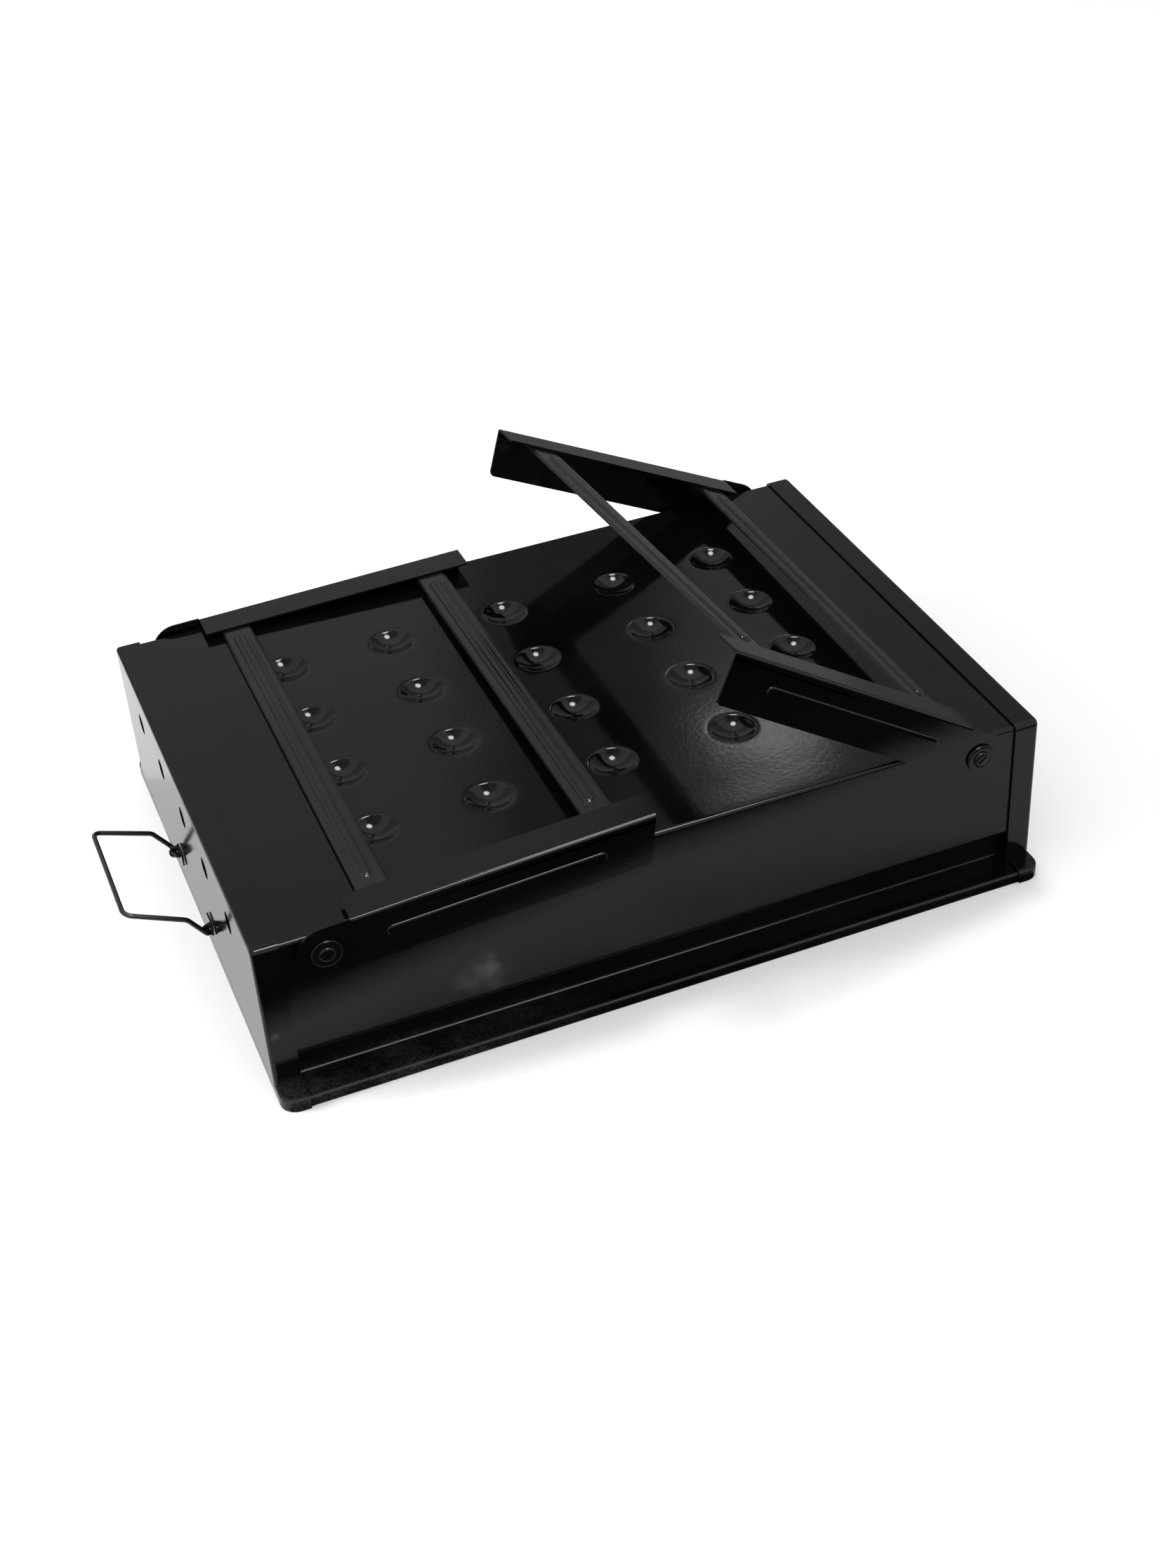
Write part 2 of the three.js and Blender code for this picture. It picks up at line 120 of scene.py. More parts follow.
SCREW_RADIUS = 3.0
BORE_RADIUS = SCREW_RADIUS + 0.2
WASHER_RADIUS = 8.0
WASHER_THICKNESS = 1.0
ARM_HALF = 14.75
ARM_LENGTH = 175.0
ARM_SHEET = 1.2
ARM_BEND = 2.0
ARM_Y = WALL_Y + GAP + WASHER_THICKNESS + GAP
ARM_TILT = {"left": {"front": 3.2, "back": 1.2}, "right": {"front": 33.0, "back": 26.3}}
WEB_TOP = ARM_HALF - ARM_BEND - 1
FLANGE_START = 14.8
FLANGE_WIDTH = 19.5
FLANGE_OVERLAP = 3
FOOT_SLANT = math.radians(10)
FOOT_CORNER = 3
FOOT_STEPS = 6
BEAD_START = 31.0
BEAD_END = 147.0
BEAD_HALF = 2.9
BEAD_HEIGHT = 0.8
# Each (half width, share of the height) of an arm's bead, from inside the sheet to its crown.
BEAD_PROFILE = ((2.9, -0.6), (2.9, -0.02), (2.78, 0.25), (2.5, 0.6), (2.05, 0.86), (1.4, 0.98), (0.5, 1.0))

CROSSBARS = {"inner": 32.5, "outer": 151.5}
CROSSBAR_WIDTH = 17.0
CROSSBAR_LIP = 2.4
CROSSBAR_FOLD = 1.4
TOP_BAND = 0.6
CROSSBAR_FLAT_STEPS = 56
CROSSBAR_END_GAP = 4
RIB_HEIGHT = 1.2
RIB_MIDDLE = -1.0
RIB_SAMPLES_OUT = 6
RIB_SAMPLES_IN = 8
RIB_HALF = 3.3
RIB_FLANK = 1.0
RIB_END_GAP = 12
GROOVES = (4.6, -1.0)
GROOVE_DEPTH = 0.4
GROOVE_WIDTH = 0.6
GROOVE_FADE = 4
WELDS = (-3.0, 3.5)
WELD_RADIUS = 2.6
WELD_DEPTH = 0.35
WELD_FROM_RIB = 20

SCREW_TIP = 8.5
SCREW_CHAMFER = 0.5
# Each (radius, distance out from the arm) of a screw head, from its underside to its middle.
HEAD_PROFILE = ((7.6, 0), (7.95, 0.15), (8.0, 0.5), (7.9, 0.95), (7.6, 1.3), (7.15, 1.45), (5.3, 1.45),
                (4.75, 1.3), (4.4, 1.2), (4.3, 1.7), (4.0, 2.15), (3.5, 2.45), (2.9, 2.55), (0, 2.6))
SLOT_HALF_LENGTH = 2.6
SLOT_HALF_WIDTH = 0.55
SLOT_FLOOR = 1.5
SLOT_TOP = 4
SLOT_ANGLE = math.radians(35)
NUT_HALF_WIDTH = 5.0
NUT_HEIGHT = 4.5
NUT_CHAMFER = 0.6
NUT_CHAMFER_RADII = (4.9, 5.9)

WIRE_RADIUS = 1.35
# Each (distance out from the end wall, half width, height) of a handle, from its hinge to its grip.
HANDLE_CORNERS = ((3.5, 41.5, 25.0), (13.2, 41.0, 38.4), (44.3, 38.7, 51.1))
HANDLE_BENDS = (2.6, 6, 5, 5, 6, 2.6)
HANDLE_DROOP = {"left": 0.0, "right": math.radians(50)}
HANDLE_STUB = 8.0
LUG_Y = 37.5
LUG_SHEET = 1.5
LUG_HALF = 4.6
LUG_NOSE = 3.1
LUG_NOSE_ANGLE = 62
LUG_FOOT = 9
LUG_FOOT_SHEET = 1

# Cutting tools only have to reach past what they cut.
PAST = 5.0
CAP_TRIM_LOW = (-200, -5)
CAP_TRIM_HIGH = (300, 200, 60)
HOOD_HOLLOW_START = 9
HOOD_HOLLOW_LOW = -20
RIM_HOLLOW_LOW = -5
FLANGE_UNCUT = 200
FOOT_CUT_LOW = (0, -400, -80)
FOOT_CUT_HIGH = (80, 400, 80)
NUT_BORE = 9
LUG_HOLE = (30, 45)


# ---------------------------------------------------------------- mesh helpers
def new_object(name, bm):
    """An object from a bmesh drawn in millimetres."""
    bmesh.ops.remove_doubles(bm, verts=bm.verts, dist=1e-4)
    bmesh.ops.recalc_face_normals(bm, faces=bm.faces)
    bmesh.ops.scale(bm, vec=(MM, MM, MM), verts=bm.verts)
    mesh = bpy.data.meshes.new(name)
    bm.to_mesh(mesh)
    bm.free()
    obj = bpy.data.objects.new(name, mesh)
    bpy.context.scene.collection.objects.link(obj)
    return obj


def apply_modifiers(obj):
    """Leaves the object with the mesh that its modifiers make."""
    bpy.context.view_layer.update()
    graph = bpy.context.evaluated_depsgraph_get()
    mesh = bpy.data.meshes.new_from_object(obj.evaluated_get(graph))
    old = obj.data
    obj.modifiers.clear()
    obj.data = mesh
    bpy.data.meshes.remove(old)


def shade(obj, angle):
    """Smooth faces, with edges sharper than the angle kept sharp."""
    mesh = obj.data
    mesh.polygons.foreach_set("use_smooth", [True] * len(mesh.polygons))
    mesh.set_sharp_from_angle(angle=math.radians(angle))


def weighted(obj):
    """Normals that keep broad flat faces flat beside their bends."""
    modifier = obj.modifiers.new("weighted", "WEIGHTED_NORMAL")
    modifier.keep_sharp = True
    modifier.weight = 80
    apply_modifiers(obj)


def bevel(obj, width):
    """Rounds the edges that turn by more than 50 degrees."""
    modifier = obj.modifiers.new("edge", "BEVEL")
    modifier.width = width * MM
    modifier.segments = 2
    modifier.limit_method = "ANGLE"
    modifier.angle_limit = math.radians(50)
    modifier.use_clamp_overlap = True
    modifier.harden_normals = False
    apply_modifiers(obj)


def thicken(obj):
    """Gives a surface the tray sheet's thickness, half to each side."""
    modifier = obj.modifiers.new("thickness", "SOLIDIFY")
    modifier.thickness = SHEET * MM
    modifier.offset = 0.0
    modifier.use_even_offset = True
    apply_modifiers(obj)


def combine(obj, tool, operation):
    """Boolean of two objects: the tool object is used up."""
    modifier = obj.modifiers.new("cut", "BOOLEAN")
    modifier.operation = operation
    modifier.object = tool
    modifier.solver = "EXACT"
    apply_modifiers(obj)
    bpy.data.objects.remove(tool)


def loft(rings, closed=True):
    """A bmesh skin through rings of points with the same number of points each, capped where closed."""
    bm = bmesh.new()
    rows = [[bm.verts.new(point) for point in ring] for ring in rings]
    count = len(rings[0])
    for low, high in zip(rows, rows[1:]):
        for index in range(count if closed else count - 1):
            after = (index + 1) % count
            bm.faces.new((low[index], low[after], high[after], high[index]))
    if closed:
        bm.faces.new(rows[0][::-1])
        bm.faces.new(rows[-1])
    return bm


def prism(outline, place):
    """A bmesh solid from a flat outline; place turns u, v and 0 or 1, for the end, into a point."""
    return loft([[place(point[0], point[1], end) for point in outline] for end in (0, 1)])


def box_rings(low, high):
    """The two end rings of a box, for a loft along X."""
    corners = ((low[1], low[2]), (high[1], low[2]), (high[1], high[2]), (low[1], high[2]))
    return [[(x, y, z) for y, z in corners] for x in (low[0], high[0])]


def circle(centre, across, other, radius, sides):
    """Points round a centre, in the plane of two unit vectors."""
    angles = [math.tau * index / sides for index in range(sides)]
    return [centre + (across * math.cos(angle) + other * math.sin(angle)) * radius for angle in angles]


def cylinder(radius, start, end, sides=48):
    """A bmesh bar between two points."""
    start, end = Vector(start), Vector(end)
    axis = (end - start).normalized()
    across = axis.orthogonal().normalized()
    other = axis.cross(across)
    return loft([circle(at, across, other, radius, sides) for at in (start, end)])


def folded(corners, radii, steps=8):
    """Points along a folded flat line, each of its folds rounded by its own radius."""
    points = [Vector(corner) for corner in corners]
    out = [points[0]]
    for before, at, after, radius in zip(points, points[1:], points[2:], radii):
        come = (at - before).normalized()
        go = (after - at).normalized()
        turn = come.angle_signed(go)
        reach = radius * math.tan(abs(turn) / 2)
        start = at - come * reach
        side = Vector((-come.y, come.x)) * (-1 if turn > 0 else 1)
        centre = start + side * radius
        for step in range(steps + 1):
            swing = Matrix.Rotation(-turn * step / steps, 2)
            out.append(centre + swing @ (start - centre))
    out.append(points[-1])
    return out


def offset(points, distance, closed=True):
    """Points of an outline or an open line, moved to the left of its direction."""
    legs = [(after - point).normalized() for point, after in zip(points, points[1:] + points[:1])]
    out = []
    for index, point in enumerate(points):
        come = legs[index - 1] if closed or index else legs[0]
        go = legs[index] if closed or index < len(points) - 1 else come
        turn = (come + go).normalized()
        normal = Vector((-turn.y, turn.x))
        out.append(point + normal * (distance / max(0.3, normal.dot(Vector((-come.y, come.x))))))
    return out


def sheet_outline(line, thickness):
    """The closed section of a sheet whose middle follows the line."""
    return offset(line, thickness / 2, False) + offset(line, -thickness / 2, False)[::-1]


def arc(centre, radius, start, end, steps):
    """Points on a circle from one angle to another, in degrees."""
    out = []
    for step in range(steps + 1):
        angle = math.radians(start + (end - start) * step / steps)
        out.append(Vector((centre[0] + radius * math.cos(angle), centre[1] + radius * math.sin(angle))))
    return out


def rounded_rectangle(half_x, half_y, radius, steps):
    """An outline with round corners, anticlockwise from the corner at +X and +Y."""
    out = []
    for quarter, (sign_x, sign_y) in enumerate(((1, 1), (-1, 1), (-1, -1), (1, -1))):
        centre = (sign_x * (half_x - radius), sign_y * (half_y - radius))
        out += arc(centre, radius, 90 * quarter, 90 * quarter + 90, steps)
    return out


def clean_ring(points):
    """An outline without points that lie on the point before them."""
    out = []
    for point in points:
        if not out or (point - out[-1]).length > 1e-4:
            out.append(point)
    if (out[0] - out[-1]).length < 1e-4:
        out.pop()
    return out


def split(low, high, count):
    """Evenly spaced values from low to high."""
    return [low + (high - low) * index / count for index in range(count + 1)]


def merge_samples(*lists):
    """The values of all the lists in order, each once."""
    out = []
    for value in sorted(value for values in lists for value in values):
        if not out or value - out[-1] > 1e-6:
            out.append(value)
    return out


def half_turn(obj):
    """Turns a piece drawn at the right end round to the left end."""
    obj.data.transform(Matrix.Rotation(math.pi, 4, "Z"))


# ---------------------------------------------------------------- materials
class Graph:
    """Adds nodes to a material or a world and hands back their outputs."""

    def __init__(self, tree):
        self.nodes = tree.nodes
        self.links = tree.links

    def feed(self, socket, value):
        """Gives a socket a plain value or another node's output."""
        if isinstance(value, bpy.types.NodeSocket):
            self.links.new(value, socket)
        else:
            socket.default_value = value

    def place(self, kind):
        """The point being shaded, as the coordinates named by kind."""
        return self.nodes.new("ShaderNodeTexCoord").outputs[kind]

    def axes(self, vector):
        """A vector's three parts, by name."""
        node = self.nodes.new("ShaderNodeSeparateXYZ")
        self.feed(node.inputs[0], vector)
        return node.outputs

    def noise(self, place, scale, detail, rough=0.5, output="Fac"):
        node = self.nodes.new("ShaderNodeTexNoise")
        for name, value in (("Vector", place), ("Scale", scale), ("Detail", detail), ("Roughness", rough)):
            self.feed(node.inputs[name], value)
        return node.outputs[output]

    def ramp(self, value, before, after, kind="LINEAR"):
        """Maps a value from one range to another, held at the ends."""
        node = self.nodes.new("ShaderNodeMapRange")
        node.interpolation_type = kind
        for name, limit in zip(("From Min", "From Max", "To Min", "To Max"), (*before, *after)):
            node.inputs[name].default_value = limit
        self.feed(node.inputs["Value"], value)
        return node.outputs["Result"]

    def soft_ramp(self, value, before, after):
        return self.ramp(value, before, after, "SMOOTHSTEP")

    def maths(self, operation, *values):
        node = self.nodes.new("ShaderNodeMath")
        node.operation = operation
        for socket, value in zip(node.inputs, values):
            self.feed(socket, value)
        return node.outputs["Value"]

    def vectors(self, operation, *values, output="Vector"):
        node = self.nodes.new("ShaderNodeVectorMath")
        node.operation = operation
        for socket, value in zip(node.inputs, values):
            self.feed(socket, value)
        return node.outputs[output]

    def mix(self, factor, first, second):
        """One colour over another."""
        node = self.nodes.new("ShaderNodeMix")
        node.data_type = "RGBA"
        self.feed(node.inputs["Factor"], factor)
        for name, value in (("A", first), ("B", second)):
            socket = [each for each in node.inputs if each.name == name and each.type == "RGBA"][0]
            self.feed(socket, (*value, 1) if isinstance(value, tuple) else value)
        return [each for each in node.outputs if each.type == "RGBA"][0]


def new_material(name):
    """A material with its graph and its shader node."""
    mat = bpy.data.materials.new(name)
    mat.use_nodes = True
    return mat, Graph(mat.node_tree), mat.node_tree.nodes["Principled BSDF"]


WORN_PAINT = (0.042, 0.042, 0.041)
SCUFF_ROUGHNESS = 0.3
HEM_ROUGHNESS = 0.42
RUB_AND_HIGHLIGHT_PAINT = (0.10, 0.10, 0.10)
PEEL_DISTANCE = 0.0006
WAVE_SHARE = 2.5


def foot_wear(graph, place):
    """Scuffed paint low on the tray, mostly at its left end, and a mask of the rim's dull bend."""
    axes = graph.axes(place)
    low = graph.ramp(axes["Z"], (0.012, 0.005), (0, 1))
    near_end = graph.ramp(axes["X"], (-0.19, -0.02), (1, 0.12))
    blotches = graph.ramp(graph.noise(place, 38, 6, 0.75), (0.36, 0.66), (0, 1))
    scratches = graph.ramp(graph.noise(place, 700, 4, 0.75), (0.34, 0.66), (0, 1))
    patches = graph.maths("MULTIPLY", blotches, scratches)
    scuffs = graph.maths("MULTIPLY", patches, graph.maths("MULTIPLY", low, near_end))
    outward = graph.ramp(graph.maths("ABSOLUTE", axes["Y"]), (0.1600, 0.1612), (0, 1))
    above = graph.ramp(axes["Z"], (0.0042, 0.0048), (0, 1))
    return scuffs, graph.maths("MULTIPLY", outward, above)


def rub_and_highlight_mark(graph, place, centre, radius, strength):
    """A blotchy pale mark, strongest in its middle, for rubs and for a painted highlight."""
    cloud = graph.noise(place, 90, 2, output="Color")
    warped = graph.vectors("MULTIPLY_ADD", cloud, (radius * 1.6,) * 3, place)
    middle = tuple(value + radius * 0.8 for value in centre)
    away = graph.vectors("DISTANCE", warped, middle, output="Value")
    return graph.ramp(away, (radius, 0), (0, strength))


def material(name, base, roughness, metallic=0.0, specular=0.5, bump=0.04, dust=0.35, marks=(), worn=False):
    """Baked enamel or plated steel: faint orange peel, dust, pale rubs, a painted highlight and uneven
    gloss.
    """
    mat, graph, shader = new_material(name)
    place = graph.place("Object")
    cloud = graph.ramp(graph.noise(place, 14, 4), (0.35, 0.7), (0, 1))
    specks = graph.ramp(graph.noise(place, 900, 2, 0.7), (0.72, 0.80), (0, dust))
    colour = graph.mix(cloud, base, tuple(channel * 1.8 + 0.0004 for channel in base))
    colour = graph.mix(specks, colour, tuple(channel + 0.05 for channel in base))
    smear = graph.ramp(graph.noise(place, 9, 6, 0.65), (0.3, 0.75), (roughness * 0.8, roughness * 1.35))
    grain = graph.ramp(graph.noise(place, 260, 3), (0.3, 0.8), (-0.008, 0.010))
    gloss = graph.maths("ADD", smear, grain)
    if worn:
        scuffs, hem = foot_wear(graph, place)
        colour = graph.mix(scuffs, colour, WORN_PAINT)
        gloss = graph.maths("ADD", gloss, graph.ramp(scuffs, (0, 1), (0, SCUFF_ROUGHNESS)))
        gloss = graph.maths("ADD", gloss, graph.ramp(hem, (0, 1), (0, HEM_ROUGHNESS)))
    # Pale marks: rubs, and a painted highlight where one is listed.
    for centre, radius, strength in marks:
        colour = graph.mix(rub_and_highlight_mark(graph, place, centre, radius, strength), colour, RUB_AND_HIGHLIGHT_PAINT)
    relief = graph.nodes.new("ShaderNodeBump")
    relief.inputs["Strength"].default_value = bump
    relief.inputs["Distance"].default_value = PEEL_DISTANCE
    peel, wave = graph.noise(place, 420, 2), graph.noise(place, 22, 2)
    graph.feed(relief.inputs["Height"], graph.maths("MULTIPLY_ADD", wave, WAVE_SHARE, peel))
    shader.inputs["Metallic"].default_value = metallic
    shader.inputs["Specular IOR Level"].default_value = specular
    graph.feed(shader.inputs["Base Color"], colour)
    graph.feed(shader.inputs["Roughness"], gloss)
    graph.feed(shader.inputs["Normal"], relief.outputs["Normal"])
    return mat


# Each place, radius and strength of a pale mark: three rubs on the near long wall, then a painted
# highlight.
WALL_RUBS_AND_WELD_HIGHLIGHT = (
    ((-0.099, -0.148, 0.041), 0.0075, 0.34),
    ((-0.101, -0.148, 0.037), 0.015, 0.16),
    ((-0.111, -0.148, 0.035), 0.008, 0.12),
    # Painted highlight: a pale spot for the shine on a small weld bump on the left cap's front strip.
    ((-0.210, -0.149, 0.040), 0.003, 0.3),
)
BLACK = (0.0011, 0.0011, 0.0012)
ENAMEL = material("gloss_black_enamel", BLACK, 0.085, specular=0.24)
TRAY_ENAMEL = material("tray_enamel", BLACK, 0.085, specular=0.24, bump=0.03, marks=WALL_RUBS_AND_WELD_HIGHLIGHT, worn=True)
STRAP = material("strap_enamel", (0.0034, 0.0034, 0.0034), 0.12, specular=0.32, bump=0.10, dust=0.5)
WIRE = material("black_wire", (0.006, 0.006, 0.0062), 0.24, bump=0.08)
SCREW = material("black_screw", (0.0016, 0.0016, 0.0016), 0.15, specular=0.22, bump=0.06)
ZINC = material("zinc_plate", (0.42, 0.43, 0.44), 0.34, metallic=1.0, bump=0.06, dust=0.1)


def finish_piece(obj, node, body, mat, angle=30):
    """Paints a finished mesh and puts it in its CAD node's place, on its body."""
    obj.data.materials.clear()
    obj.data.materials.append(mat)
    shade(obj, angle)
    weighted(obj)
    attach(obj, body)
    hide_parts(node)


# ---------------------------------------------------------------- tray shell
class SheetMesh:
    """A bmesh in which points at the same place are one vertex."""

    def __init__(self):
        self.bm = bmesh.new()
        self.known = {}

    def point(self, x, y, z):
        key = (round(x, 3), round(y, 3), round(z, 3))
        if key not in self.known:
            self.known[key] = self.bm.verts.new((x, y, z))
        return self.known[key]

    def face(self, *corners):
        """A face, unless fewer than three of its corners differ."""
        corners = list(dict.fromkeys(corners))
        if len(corners) > 2:
            self.bm.faces.new(corners)


def shell_line():
    """Half of the shell's section, from the middle of the panel out to the hem, middle of the sheet."""
    half = SHEET / 2
    wall = WALL_Y - half
    back = WALL_Y - STEP_DEPTH - half
    corners = [
        (0, PANEL_Z - half),
        (wall, PANEL_Z - half),
        (wall, STEP_TOP),
        (back, STEP_BOTTOM),
        (back, RIM_Z - half),
        (RIM_Y - half, RIM_Z - half),
        (RIM_Y - half, 0),
    ]
    soft = BEND - half
    return folded(corners, (soft, soft, soft, soft, RIM_FOLD))


SHELL_LINE = shell_line()
PANEL_EDGE = SHELL_LINE[1].x


def dish(radius):
    """Depth of a pressed dimple at a distance from its middle: a shallow ball with a soft lip."""
    ball = (DIMPLE_RADIUS ** 2 + DIMPLE_DEPTH ** 2) / (2 * DIMPLE_DEPTH)
    if radius >= ball:
        return 0.0
    depth = math.sqrt(ball ** 2 - radius ** 2) - (ball - DIMPLE_DEPTH)
    return (depth + math.sqrt(depth ** 2 + 4 * DIMPLE_SOFT ** 2)) / 2


def panel_height(x, y):
    """The panel's middle surface, slightly uneven as thin pressed sheet is, and level at its edges."""
    broad = 0.10 * math.sin(0.021 * x + 0.6) * math.cos(0.024 * y + 0.3)
    ripple = broad + 0.05 * math.sin(0.043 * x - 0.031 * y)
    fade = min(1, (SHELL_X - abs(x)) / PANEL_FADE) * min(1, (PANEL_EDGE - abs(y)) / PANEL_FADE)
    return PANEL_Z - SHEET / 2 + fade * ripple


def dimple_cells():
    """Sample lines of the cells that hold one dimple each, by column and by row."""
    between = [(left + right) / 2 for left, right in zip(DIMPLE_COLUMNS, DIMPLE_COLUMNS[1:])]
    limits_x = [-DIMPLE_FIELD_X, *between, DIMPLE_FIELD_X]
    limits_y = [DIMPLE_PITCH * (row - len(DIMPLE_ROWS) / 2) for row in range(len(DIMPLE_ROWS) + 1)]
    return [[split(low, high, CELL_STEPS) for low, high in zip(limits, limits[1:])]
            for limits in (limits_x, limits_y)]


def lay_panel(sheet, xs, ys, field_y):
    """The flat part of the panel round the field of dimples."""
    def corner(x, y):
        return sheet.point(x, y, panel_height(x, y))

    for x0, x1 in zip(xs, xs[1:]):
        for y0, y1 in zip(ys, ys[1:]):
            if abs(x0 + x1) / 2 > DIMPLE_FIELD_X or abs(y0 + y1) / 2 > field_y:
                sheet.face(corner(x0, y0), corner(x1, y0), corner(x1, y1), corner(x0, y1))


def press_dimple(sheet, centre_x, centre_y, xs, ys):
    """A dimple's rings, from the edge of its cell in to its middle."""
    ring = [(x, ys[0]) for x in xs[:-1]] + [(xs[-1], y) for y in ys[:-1]]
    ring += [(x, ys[-1]) for x in xs[:0:-1]] + [(xs[0], y) for y in ys[:0:-1]]
    rows = [[sheet.point(x, y, panel_height(x, y)) for x, y in ring]]
    for radius in DIMPLE_RINGS:
        row = []
        for x, y in ring:
            away = Vector((x - centre_x, y - centre_y)).normalized() * radius
            at_x, at_y = centre_x + away.x, centre_y + away.y
            row.append(sheet.point(at_x, at_y, panel_height(at_x, at_y) - dish(radius)))
        rows.append(row)
    middle = sheet.bm.verts.new((centre_x, centre_y, panel_height(centre_x, centre_y) - dish(0)))
    rows.append([middle] * len(ring))
    for outer, inner in zip(rows, rows[1:]):
        for index in range(len(ring)):
            after = (index + 1) % len(ring)
            sheet.face(outer[index], outer[after], inner[after], inner[index])


def wall_line():
    """The shell's section from the panel's edge down, in pieces of WALL_STEP or a little more."""
    out = [SHELL_LINE[1]]
    for before, after in zip(SHELL_LINE[1:], SHELL_LINE[2:]):
        pieces = max(1, int((after - before).length / WALL_STEP))
        out += [before.lerp(after, (index + 1) / pieces) for index in range(pieces)]
    return out


def shell_reach(y):
    """How far along X the shell goes at this distance from the middle: the rim has round corners."""
    corner = RIM_CORNER - SHEET - GAP
    over = y - (RIM_Y - corner)
    if over <= 0:
        return SHELL_X
    return SHELL_X - corner + math.sqrt(max(0.0, corner ** 2 - over ** 2))


def wall_bow(x, z, side):
    """How far a long wall bows out, as thin sheet does, none at its bends and ends."""
    if not STEP_TOP < z < PANEL_Z - WALL_BOW_START:
        return 0.0
    height = (z - STEP_TOP) / (PANEL_Z - STEP_TOP)
    soft = math.sin(math.pi * height) * min(1, (SHELL_X - abs(x)) / WALL_BOW_FADE)
    return WALL_BOW * soft * math.sin(0.019 * x + 0.8 + side)


def lay_wall(sheet, xs, side):
    """One long wall with its step and rim, side being +1 or -1."""
    rows = []
    for point in wall_line():
        limit = shell_reach(point.x)
        row = []
        for x in xs:
            y = side * (point.x + wall_bow(x, point.y, side))
            row.append(sheet.point(max(-limit, min(limit, x)), y, point.y))
        rows.append(row)
    for low, high in zip(rows, rows[1:]):
        for index in range(len(xs) - 1):
            sheet.face(low[index], low[index + 1], high[index + 1], high[index])


def tray_shell():
    """Panel, dimples, long walls and rims, pressed from one sheet."""
    cells_x, cells_y = dimple_cells()
    field_y = cells_y[-1][-1]
    ends = [sign * x for sign in (-1, 1) for x in split(DIMPLE_FIELD_X, SHELL_X, PANEL_END_STEPS)]
    margins = [sign * y for sign in (-1, 1) for y in split(field_y, PANEL_EDGE, PANEL_MARGIN_STEPS)]
    xs = merge_samples(*cells_x, ends)
    ys = merge_samples(*cells_y, margins)
    sheet = SheetMesh()
    lay_panel(sheet, xs, ys, field_y)
    for centre_x, cell_x in zip(DIMPLE_COLUMNS, cells_x):
        for row, cell_y in zip(DIMPLE_ROWS, cells_y):
            press_dimple(sheet, centre_x, row * DIMPLE_PITCH, cell_x, cell_y)
    for side in (-1, 1):
        lay_wall(sheet, xs, side)
    obj = new_object("tray_shell_sheet", sheet.bm)
    thicken(obj)
    finish_piece(obj, "tray_shell", "tray", TRAY_ENAMEL, 50)


tray_shell()


# ---------------------------------------------------------------- end caps
def hood_outline(inset):
    """Section of the cap's hood over the panel and long walls; the hollow's goes on below the ground."""
    wall = WALL_Y + SHEET + GAP - inset
    top = PANEL_Z + SHEET + GAP - inset
    radius = BEND + GAP + SHEET - inset
    low = HOOD_HOLLOW_LOW if inset else 0
    points = [Vector((-wall, low)), Vector((wall, low))]
    points += arc((wall - radius, top - radius), radius, 0, 90, 8)
    points += arc((radius - wall, top - radius), radius, 90, 180, 8)
    return clean_ring(points)


def hood(inset, start, steps=7):
    """A bmesh solid of the hood's section, straight along X, then turned in over the end by a bend."""
    outline, stop, radius = hood_outline(inset), CAP_X - inset, CAP_BEND - inset
    rings = [[(start, point.x, point.y) for point in outline]]
    for step in range(steps + 1):
        angle = math.pi / 2 * step / steps
        x = stop - radius + radius * math.sin(angle)
        inner = offset(outline, radius * (1 - math.cos(angle)))
        rings.append([(x, point.x, point.y) for point in inner])
    return loft(rings)


def apron(inset, low, high, radius, steps=4):
    """A bmesh solid over the rim, with round corners in plan and a bend along its top edge."""
    outline = rounded_rectangle(CAP_X - inset, RIM_Y + SHEET + GAP - inset, RIM_CORNER - inset, 12)
    rings = [[(point.x, point.y, low) for point in outline]]
    for step in range(steps + 1):
        angle = math.pi / 2 * step / steps
        z = high - radius + radius * math.sin(angle)
        inner = offset(outline, radius * (1 - math.cos(angle)))
        rings.append([(point.x, point.y, z) for point in inner])
    return loft(rings)


def end_cap(end):
    """End wall with its vents, wrapped over the panel, long walls and rim."""
    start = CAP_X - WRAP
    rim_top = RIM_Z + SHEET + GAP
    cap = new_object("end_cap_" + end + "_sheet", hood(0, start))
    cover = new_object("cover", apron(0, 0, rim_top, APRON_BEND))
    trim = loft(box_rings((start, *CAP_TRIM_LOW), CAP_TRIM_HIGH))
    combine(cover, new_object("trim", trim), "INTERSECT")
    combine(cap, cover, "UNION")
    combine(cap, new_object("hollow", hood(SHEET, start - HOOD_HOLLOW_START)), "DIFFERENCE")
    rim_hollow = apron(SHEET, RIM_HOLLOW_LOW, rim_top - SHEET, APRON_INNER_BEND)
    combine(cap, new_object("rim_hollow", rim_hollow), "DIFFERENCE")
    for index in range(VENT_COUNT):
        y = (index - VENT_COUNT // 2) * VENT_PITCH
        drill = cylinder(VENT_RADIUS, (CAP_X - PAST, y, VENT_Z), (CAP_X + PAST, y, VENT_Z))
        combine(cap, new_object("drill", drill), "DIFFERENCE")
    if end == "left":
        half_turn(cap)
    bevel(cap, CAP_EDGE)
    finish_piece(cap, "end_cap_" + end, "tray", TRAY_ENAMEL)


for end in ENDS:
    end_cap(end)


